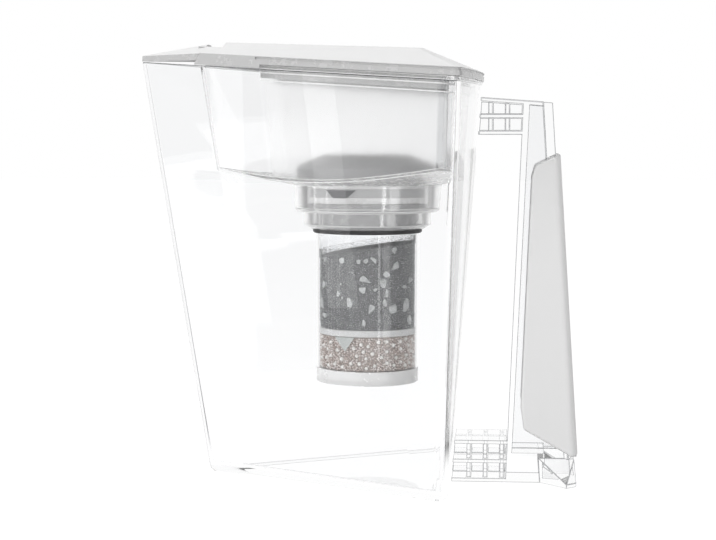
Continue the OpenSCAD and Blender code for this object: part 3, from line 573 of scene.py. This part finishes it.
kept = add(scatter, "GeometryNodeDeleteGeometry", {"domain": "POINT"},
           Geometry=spread.outputs["Points"], Selection=too_near.outputs[0])
grain_shape = add(scatter, "GeometryNodeObjectInfo", {"transform_space": "ORIGINAL"},
                  Object=given["Grain"])
turned = add(scatter, "FunctionNodeRandomValue", {"data_type": "FLOAT_VECTOR"})
open_input(turned, "Max", (2 * math.pi, 2 * math.pi, 2 * math.pi))
sized = add(scatter, "FunctionNodeRandomValue", {"data_type": "FLOAT"})
scatter.links.new(given["Smallest"], open_input(sized, "Min"))
scatter.links.new(given["Largest"], open_input(sized, "Max"))
open_input(sized, "Seed", 7)
grains = add(scatter, "GeometryNodeInstanceOnPoints")
scatter.links.new(kept.outputs["Geometry"], grains.inputs["Points"])
scatter.links.new(grain_shape.outputs["Geometry"], grains.inputs["Instance"])
scatter.links.new(turned.outputs[0], grains.inputs["Rotation"])
scatter.links.new(next(s for s in sized.outputs if s.enabled), grains.inputs["Scale"])
shade = add(scatter, "FunctionNodeRandomValue", {"data_type": "FLOAT"})
open_input(shade, "Seed", 3)
marked = add(scatter, "GeometryNodeStoreNamedAttribute",
             {"data_type": "FLOAT", "domain": "INSTANCE"},
             {"Name": "shade"}, Geometry=grains.outputs["Instances"])
scatter.links.new(next(s for s in shade.outputs if s.enabled), open_input(marked, "Value"))
real = add(scatter, "GeometryNodeRealizeInstances", Geometry=marked.outputs["Geometry"])
coloured = add(scatter, "GeometryNodeSetMaterial", Geometry=real.outputs["Geometry"],
               Material=given["Material"])
add(scatter, "NodeGroupOutput", Geometry=coloured.outputs["Geometry"])
print("tree:", scatter.name, len(scatter.nodes), "nodes")

# %% Write the scatter helper
def scattered(name, shape, node, grain, material, spacing, sizes, seed, clear_of=None,
              clearance=0.0):
    """Cover a shell with grains, and keep the result as one plain mesh."""
    piece = placed(name, shape)
    tool = piece.modifiers.new("grains", "NODES")
    tool.node_group = scatter
    wanted = {"Grain": grain, "Keep Clear Of": clear_of, "Clearance": clearance * MM,
              "Spacing": spacing * MM, "Smallest": sizes[0], "Largest": sizes[1], "Seed": seed,
              "Material": material}
    for item in scatter.interface.items_tree:
        if item.in_out == "INPUT" and item.name in wanted:
            tool[item.identifier] = wanted[item.name]
    piece.update_tag()
    frozen(piece)
    return carried(piece, node)

def pattern(name, build):
    """A smooth grain for the tree to repeat, taken away once its copies are made."""
    shape = bmesh.new()
    build(shape)
    for face in shape.faces:
        face.smooth = True
    mesh = bpy.data.meshes.new(name)
    shape.to_mesh(mesh)
    shape.free()
    item = bpy.data.objects.new(name, mesh)
    bpy.context.scene.collection.objects.link(item)
    return item

# %% [markdown]
# ## Materials of the fills
# Beads and grains take their colour from their own random shade. The felts and the foam are
# matt, and their fibres and pores are relief. The foam's pores are also darker in their middles,
# as painted shade. The strainers are woven from fine thread.

# %% Make the materials of beads, chips and grains
def matt(name, ramp, mask_of, relief, roughness=0.7, distance=0.0001):
    """A matt material whose colour runs along a ramp by a mask, with relief of its own."""
    material = bpy.data.materials.new(name)
    tree = emptied(material)
    place = add(tree, "ShaderNodeTexCoord").outputs["Object"]
    colours = add(tree, "ShaderNodeValToRGB", Fac=mask_of(tree, place))
    while len(colours.color_ramp.elements) < len(ramp):
        colours.color_ramp.elements.new(0.5)
    for stop, (at, colour) in zip(colours.color_ramp.elements, ramp):
        stop.position, stop.color = at, (*colour, 1)
    bumps = add(tree, "ShaderNodeBump", values={"Distance": distance}, Height=relief(tree, place))
    shader = add(tree, "ShaderNodeBsdfPrincipled", None, {"Roughness": roughness},
                 Base_Color=colours.outputs["Color"], Normal=bumps.outputs["Normal"])
    add(tree, "ShaderNodeOutputMaterial", Surface=shader.outputs[0])
    return material

def noise(scale, detail=3.0, rough=0.6, stretch=(1, 1, 1)):
    """A mask maker: noise at a scale, stretched along an axis for fibres."""
    def made(tree, place):
        spread_out = add(tree, "ShaderNodeVectorMath", {"operation": "MULTIPLY"})
        tree.links.new(place, spread_out.inputs[0])
        spread_out.inputs[1].default_value = stretch
        return add(tree, "ShaderNodeTexNoise",
                   values={"Scale": scale, "Detail": detail, "Roughness": rough},
                   Vector=spread_out.outputs[0]).outputs["Fac"]
    return made

def own_shade(blotch_scale, share):
    """A mask maker: each grain's random shade, with a share of fine blotches."""
    def made(tree, place):
        random_shade = add(tree, "ShaderNodeAttribute", {"attribute_name": "shade"}).outputs["Fac"]
        blotches = noise(blotch_scale)(tree, place)
        return maths(tree, "ADD", maths(tree, "MULTIPLY", random_shade, 1 - share),
                     maths(tree, "MULTIPLY", blotches, share))
    return made

bead_mix = matt("resin_bead_mix", [(0.0, (0.46, 0.385, 0.36)), (0.35, (0.72, 0.63, 0.59)),
                                   (0.6, (0.82, 0.76, 0.74)), (1.0, (0.95, 0.9, 0.87))],
                own_shade(900, 0.15), noise(2500), roughness=0.3, distance=0.00001)
bead_white = matt("resin_bead_white", [(0.0, (0.84, 0.82, 0.79)), (1.0, (0.99, 0.98, 0.96))],
                  own_shade(700, 0.3), noise(2500), roughness=0.25, distance=0.00001)
bead_core = matt("resin_bed_core", [(0.3, (0.45, 0.4, 0.38)), (0.7, (0.7, 0.64, 0.61))],
                 noise(900), noise(1500), distance=0.0002)
carbon_grain = matt("carbon_grain", [(0.0, (0.22, 0.223, 0.227)), (0.6, (0.44, 0.444, 0.45)),
                                     (1.0, (0.75, 0.755, 0.76))],
                    own_shade(260, 0.45), noise(3000), roughness=0.6, distance=0.00003)
carbon_core = matt("carbon_bed_core", [(0.3, (0.18, 0.182, 0.185)), (0.7, (0.3, 0.303, 0.307))],
                   noise(400), noise(1200), distance=0.0003)
chip_stone = matt("mineral_chip_stone", [(0.25, (0.42, 0.43, 0.43)), (0.6, (0.62, 0.63, 0.63)),
                                         (0.8, (0.8, 0.81, 0.81))],
                  noise(320, 6.0), noise(1800, 6.0), roughness=0.5, distance=0.00008)

# %% Make the materials of felt, foam and strainers
white_felt = matt("white_felt", [(0.3, (0.66, 0.66, 0.66)), (0.7, (0.86, 0.86, 0.86))],
                  noise(700, 4.0, 0.7, (1, 1, 5)), noise(1600, 4.0, 0.7, (1, 1, 4)), 0.9, 0.0002)
tab_felt = matt("grey_tab_felt", [(0.3, (0.5, 0.52, 0.51)), (0.7, (0.64, 0.66, 0.65))],
                noise(900, 4.0, 0.7, (1, 1, 4)), noise(1600, 4.0, 0.7), 0.9, 0.0001)

def pores(scale):
    """A mask maker: the round open cells of foam. As a colour mask it paints shade in their
    middles.
    """
    def made(tree, place):
        return add(tree, "ShaderNodeTexVoronoi", {"feature": "F1"}, {"Scale": scale},
                   Vector=place).outputs["Distance"]
    return made

def woven(period):
    """A mask maker: round threads that cross, one period in mm apart."""
    def made(tree, place):
        scale = 0.314 / (period * MM)
        bands = [add(tree, "ShaderNodeTexWave", {"bands_direction": axis}, {"Scale": scale},
                     Vector=place).outputs["Fac"] for axis in ("X", "Y")]
        return maths(tree, "MAXIMUM", *bands)
    return made

# The foam's pore middles are darker: painted shade in the open cells.
grey_foam = matt("grey_strainer_foam", [(0.15, (0.1, 0.1, 0.105)), (0.5, (0.3, 0.3, 0.31))],
                 pores(900), pores(900), 0.95, 0.0004)
white_mesh = matt("white_strainer_mesh", [(0.35, (0.2, 0.2, 0.2)), (0.6, (0.8, 0.8, 0.8))],
                  woven(0.8), woven(0.8), 0.6, 0.0002)
print("materials:", len(bpy.data.materials))

# %% [markdown]
# ## Resin beads
# Ion exchange resin is sold as round beads of about a millimetre. Here most are taupe, and some
# larger white ones lie between them. The small ones are spread last, so that they fill the room
# the white ones leave, and the white ones keep off the felt tab.

# %% Cut the felt tab
def wall_patch(corners, radii, steps=10):
    """A thin plate on the round wall: corners in (degrees, mm up), and the radii of its faces."""
    (left, right), (low_left, low_right) = corners
    shape = bmesh.new()
    rows = []
    for row in range(steps + 1):
        share = row / steps
        start = left[0] + share * (low_left[0] - left[0])
        end = right[0] + share * (low_right[0] - right[0])
        z = (left[1] + share * (low_left[1] - left[1])) * MM
        reach = [(radii[0][k] + share * (radii[1][k] - radii[0][k])) * MM for k in (0, 1)]
        turns = [math.radians(start + (end - start) * column / steps)
                 for column in range(steps + 1)]
        rows.append([[shape.verts.new(around(r, turn, z)) for turn in turns] for r in reach])
    for row in range(steps):
        for column in range(steps):
            for side in (0, 1):
                a, b = rows[row][side], rows[row + 1][side]
                shape.faces.new((a[column], a[column + 1], b[column + 1], b[column]))
    edge = ([(0, c, 0, c + 1) for c in range(steps)]
            + [(steps, c, steps, c + 1) for c in range(steps)])
    edge += ([(r, 0, r + 1, 0) for r in range(steps)]
             + [(r, steps, r + 1, steps) for r in range(steps)])
    for r0, c0, r1, c1 in edge:
        shape.faces.new((rows[r0][0][c0], rows[r1][0][c1], rows[r1][1][c1], rows[r0][1][c0]))
    bmesh.ops.recalc_face_normals(shape, faces=shape.faces)
    return shape

tab = wall_patch(([(-126.3, 88.3), (-100.8, 88.3)], [(-112.6, 80.0), (-111.6, 80.0)]),
                 [(29.25, 29.75), (29.25, 29.75)])
felt_tab = carried(smoothed(placed("separator_felt_tab", tab, tab_felt)), "separator_felt",
                   replaces=False)

# %% Spread the resin beads
BEAD_R, WHITE_BEAD_R = 0.56, 1.28
# The radii in mm of the shells that the beads' middles lie on, and of the core behind them.
WHITE_AT, SMALL_AT, BEHIND_AT, RESIN_CORE_R = 28.45, 29.15, 28.2, 27.8
white_bead = pattern("white_bead_pattern", lambda s: bmesh.ops.create_icosphere(
    s, subdivisions=2, radius=WHITE_BEAD_R * MM))
small_bead = pattern("small_bead_pattern", lambda s: bmesh.ops.create_uvsphere(
    s, u_segments=8, v_segments=5, radius=BEAD_R * MM))

def resin_shell(radius, margin):
    top = level("resin_bed", 1) - margin * MM
    return shell(radius * MM, level("resin_bed", 0) + margin * MM, lambda x: top)

white_beads = scattered("resin_beads_white", resin_shell(WHITE_AT, 1.4), "resin_bed", white_bead,
                        bead_white, 4.3, (0.92, 1.06), 5, clear_of=felt_tab, clearance=1.6)
scattered("resin_beads_small", resin_shell(SMALL_AT, 0.62), "resin_bed", small_bead, bead_mix,
          1.12, (0.9, 1.08), 11, clear_of=white_beads, clearance=0.6)
scattered("resin_beads_behind", resin_shell(BEHIND_AT, 0.62), "resin_bed", small_bead, bead_mix,
          1.3, (0.9, 1.1), 12, clear_of=white_beads, clearance=0.5)
core("resin_bed_middle", RESIN_CORE_R * MM, level("resin_bed", 0), lambda x: level("resin_bed", 1),
     bead_core, "resin_bed")

# %% [markdown]
# ## Mineral chips
# The pale chips are broken stone, so no two are alike. Each chip of the solid model becomes the
# hull of a few random points in its own room. Its outer points move towards the tube's inner
# wall, and its inner ones stay in the bed, so that a small chip keeps its depth. The edges stay
# sharp: a bevel wider than the shortest edge of a small hull reaches out through the tube.

# %% Break the mineral chips
CHIP_POINTS, CHIP_PUSH, CHIP_LIMIT_R = 15, 1.3, 29.68  # a count, then mm

def islands(node):
    """The corner points of each separate lump of a node."""
    # A set gives its members in no fixed order, so the lumps' order can change between runs.
    shape = merged(node)
    left, lumps = set(shape.verts), []
    while left:
        lump, queue = [], [left.pop()]
        while queue:
            vert = queue.pop()
            lump.append(vert.co.copy())
            for edge in vert.link_edges:
                near_vert = edge.other_vert(vert)
                if near_vert in left:
                    left.remove(near_vert)
                    queue.append(near_vert)
        lumps.append(lump)
    shape.free()
    return sorted(lumps, key=lambda lump: (round(lump[0].z, 6), round(lump[0].x, 6)))

def broken(lump, dice, into):
    """One chip: random points in the lump's own room, and the hull around them."""
    centre = sum(lump, Vector()) / len(lump)
    turn = math.atan2(centre.y, centre.x - AXIS_X)
    axes = (Vector((math.cos(turn), math.sin(turn), 0)),
            Vector((-math.sin(turn), math.cos(turn), 0)), Vector((0, 0, 1)))
    reach = [max(abs((corner - centre).dot(axis)) for corner in lump) for axis in axes]
    points = []
    for _ in range(CHIP_POINTS):
        way = Vector((dice.gauss(0, 1), dice.gauss(0, 1), dice.gauss(0, 1))).normalized()
        size = dice.uniform(1.0, 1.3)
        spot = centre + sum((axis * (way[k] * reach[k] * size) for k, axis in enumerate(axes)),
                            Vector())
        if way[0] > 0:
            spot += axes[0] * CHIP_PUSH * MM
        out = Vector((spot.x - AXIS_X, spot.y))
        limit = min(1.0, CHIP_LIMIT_R * MM / out.length)
        points.append(into.verts.new((AXIS_X + out.x * limit, out.y * limit, spot.z)))
    hull = bmesh.ops.convex_hull(into, input=points)
    inside = [item for item in hull["geom_interior"] if isinstance(item, bmesh.types.BMVert)]
    bmesh.ops.delete(into, geom=inside, context="VERTS")

dice = random.Random(21)
chips = bmesh.new()
lumps = islands("mineral_chips")
for lump in lumps:
    broken(lump, dice, chips)
bmesh.ops.recalc_face_normals(chips, faces=chips.faces)
chips_reach = max(Vector((vert.co.x - AXIS_X, vert.co.y)).length for vert in chips.verts)
chips_volume = chips.calc_volume()
mineral_chips = placed("mineral_chips_broken", chips, chip_stone)
carried(smoothed(mineral_chips, 25), "mineral_chips")
print("chips:", len(lumps), "reaching", round(chips_reach / MM, 2), "mm from the axis, together",
      round(chips_volume / MM ** 3), "mm3")

# %% [markdown]
# ## Carbon grains
# The bed of activated carbon was tipped when the cartridge was filled, so its top slopes. Its
# grains lie close, and the chips stand between them at the wall.

# %% Spread the carbon grains
GRAIN_R = 0.46
# The radii in mm of the shells that carry the grains and the dust, and of the core behind them.
GRAINS_AT, DUST_AT, CARBON_CORE_R = 28.9, 29.45, 28.5
low_top, high_top = 136.5 * MM, 145.5 * MM

def carbon_top(x):
    """The sloping top of the carbon, lower on the spout's side."""
    share = (x - (AXIS_X - BED_R)) / (2 * BED_R)
    return low_top + share * (high_top - low_top)

def jagged(shape):
    bmesh.ops.create_icosphere(shape, subdivisions=1, radius=GRAIN_R * MM)
    rough = random.Random(4)
    for vert in shape.verts:
        vert.co *= rough.uniform(0.72, 1.0)

carbon_bit = pattern("carbon_grain_pattern", jagged)
carbon_side = shell(GRAINS_AT * MM, level("carbon_bed", 0) + 0.55 * MM,
                    lambda x: carbon_top(x) - 0.55 * MM, capped=True)
scattered("carbon_grains", carbon_side, "carbon_bed", carbon_bit, carbon_grain,
          0.95, (0.85, 1.15), 8, clear_of=mineral_chips, clearance=0.42)
core("carbon_bed_middle", CARBON_CORE_R * MM, level("carbon_bed", 0),
     lambda x: carbon_top(x) - 0.9 * MM, carbon_core, "carbon_bed")

# %% Dust the wall along the carbon's top
dust_wall = bmesh.new()
levels = (-1.5, 0.8, 3.2)  # mm from the carbon's top; the lowest band is put in twice
for base, top in zip(levels, levels[1:]):
    band = shell(DUST_AT * MM, 0, lambda x: carbon_top(x) + top * MM)
    for vert in band.verts:
        if vert.co.z == 0:
            vert.co.z = carbon_top(vert.co.x) + base * MM
    part = bpy.data.meshes.new("dust band")
    band.to_mesh(part)
    band.free()
    dust_wall.from_mesh(part)
    if base == levels[0]:
        dust_wall.from_mesh(part)
scattered("carbon_dust", dust_wall, "carbon_bed", carbon_bit, carbon_grain, 0.75, (0.45, 0.95), 15)
for item in (white_bead, small_bead, carbon_bit):
    bpy.data.objects.remove(item)

# %% [markdown]
# ## Felts, foam, strainers and the arrow
# The felts and the foam are soft discs with round rims. The raised arrow on the socket shows
# which way the cartridge goes in. It is a darker plate on the tapered ring.

# %% Dress the soft discs and the strainers
dressed("separator_felt", "separator_felt_disc", white_felt, rounding=0.8, steps=3)
dressed("outlet_felt", "outlet_felt_disc", white_felt, rounding=0.8, steps=3)
dressed("foam_pad", "inlet_foam_pad", grey_foam, rounding=1.0, steps=3)
dressed("inlet_screen", "inlet_strainer", white_mesh, rounding=0.2)
dressed("outlet_screen", "outlet_strainer", white_mesh, rounding=0.2)

# %% Raise the arrow on the socket
mark_plastic = plastic("grey_mark_plastic", (0.16, 0.16, 0.165), roughness=(0.4, 0.5))
RING_Z, RING_R, RING_FLARE, RING_HEIGHT = 163.9, 44.3, 1.2, 15.6
ARROW_TOP, ARROW_LOW, SUNK, RAISED = 177.1, 172.4, 0.1, 0.35

def ring_r(height):
    """The socket ring's outer radius at a height. Both are in mm."""
    return RING_R + (height - RING_Z) * RING_FLARE / RING_HEIGHT

arrow = wall_patch(([(-118.2, ARROW_TOP), (-94.4, ARROW_TOP)],
                    [(-112.4, ARROW_LOW), (-101.5, ARROW_LOW)]),
                   [(ring_r(z) - SUNK, ring_r(z) + RAISED) for z in (ARROW_TOP, ARROW_LOW)])
carried(smoothed(placed("socket_arrow_mark", arrow, mark_plastic)), "filter_socket",
        replaces=False)
